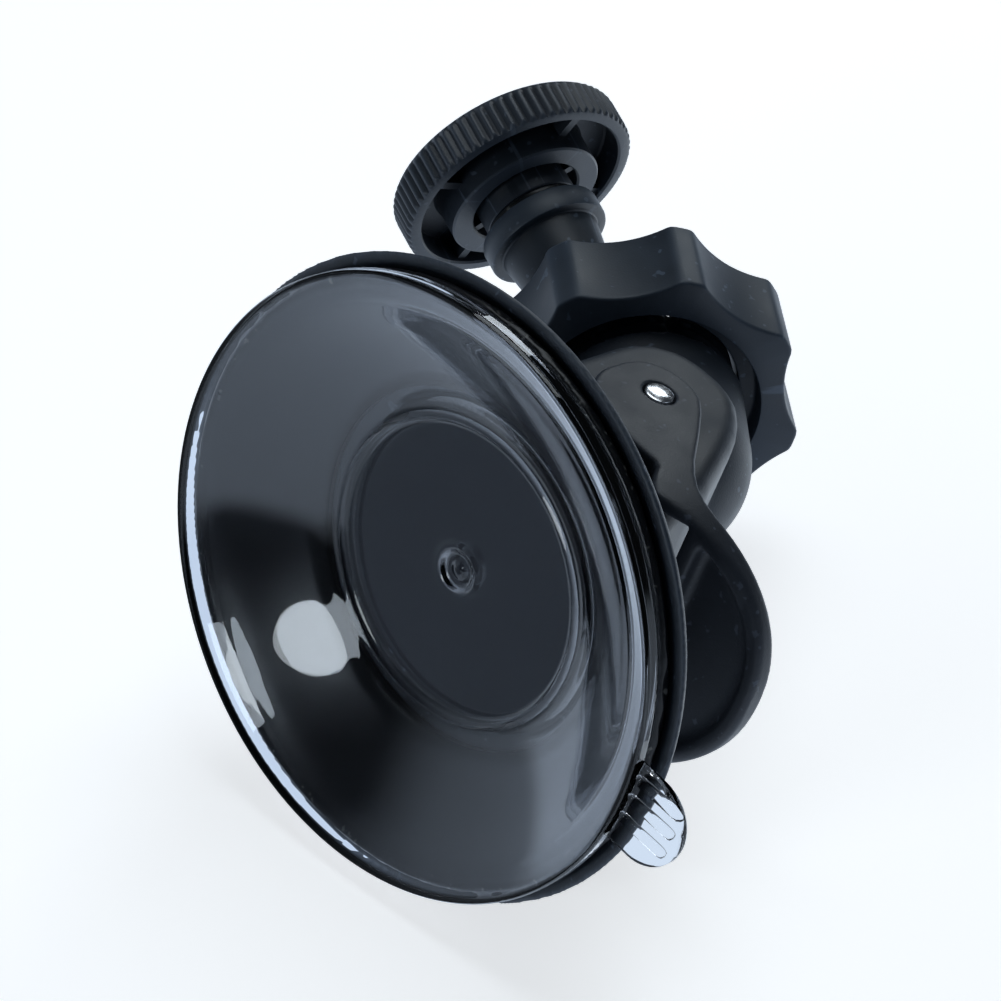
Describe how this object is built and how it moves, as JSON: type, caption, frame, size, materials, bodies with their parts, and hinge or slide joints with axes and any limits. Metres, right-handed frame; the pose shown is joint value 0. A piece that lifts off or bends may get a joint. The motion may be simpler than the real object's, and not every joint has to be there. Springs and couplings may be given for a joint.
{
  "type": "suction mount",
  "caption": "Suction-cup windscreen mount for a dash camera: cam-lever base, ball joint with a lobed clamp nut, and a camera screw with a thumb wheel.",
  "frame": {"origin": "centre of the suction cup's rim, in the plane of the glass", "axes": "+Z away from the glass along the cup's axis, -Y towards the cam lever's paddle and the pull tab, +Y the way the ball socket leans, X along the lever's pin"},
  "size_m": [0.0622, 0.0846, 0.0645],
  "materials": {
    "clear_pvc": "clear, glossy, very soft",
    "black_rubber": "glossy, slightly wrinkled",
    "housing_plastic": "fine-grain matte",
    "lever_plastic": "fine-grain matte",
    "nut_plastic": "satin",
    "stud_plastic": "satin",
    "wheel_plastic": "satin",
    "acetal": "natural acetal",
    "steel": "bright, plated",
    "brass": "turned"
  },
  "bodies": {
    "base": {"base_housing": "housing_plastic", "suction_cup": "clear_pvc", "cup_backing": "black_rubber"},
    "plunger": {"plunger": "stud_plastic", "pivot_pin": "steel"},
    "lever": {"cam_lever": "lever_plastic"},
    "nut": {"clamp_nut": "nut_plastic"},
    "seat": {"ball_seat": "acetal"},
    "stud": {"ball_stud": "stud_plastic", "stud_washer": "black_rubber", "camera_screw": "steel"},
    "wheel": {"thumb_wheel": "wheel_plastic", "wheel_insert": "brass"}
  },
  "joints": [
    {"name": "plunger_slide", "type": "slide", "parent": "base", "child": "plunger", "axis": [0, 0, 1], "range_m": [-0.003, 0], "deforming": ["suction_cup"]},
    {"name": "lever_pivot", "type": "hinge", "parent": "plunger", "child": "lever", "pos_m": [0, 0, 0.0285], "axis": [-1, 0, 0], "range_deg": [0, 88]},
    {"name": "nut_turn", "type": "hinge", "parent": "base", "child": "nut", "pos_m": [0, 0.01056, 0.04475], "axis": [0, 0.7826, 0.6225], "range_deg": [0, 360]},
    {"name": "ball_swivel", "type": "hinge", "parent": "base", "child": "seat", "pos_m": [0, 0.01198, 0.04588], "axis": [0, 0.7826, 0.6225], "continuous": true},
    {"name": "ball_tilt", "type": "hinge", "parent": "seat", "child": "stud", "pos_m": [0, 0.01198, 0.04588], "axis": [-0.8934, -0.2797, 0.3516], "range_deg": [-64, 4]},
    {"name": "wheel_spin", "type": "hinge", "parent": "stud", "child": "wheel", "pos_m": [-0.00672, 0.04065, 0.05162], "axis": [-0.224, 0.9557, 0.1911], "continuous": true}
  ],
  "couplings": [
    {"joint": "lever_pivot", "follows": "plunger_slide", "rad_per_m": -511.9}
  ]
}
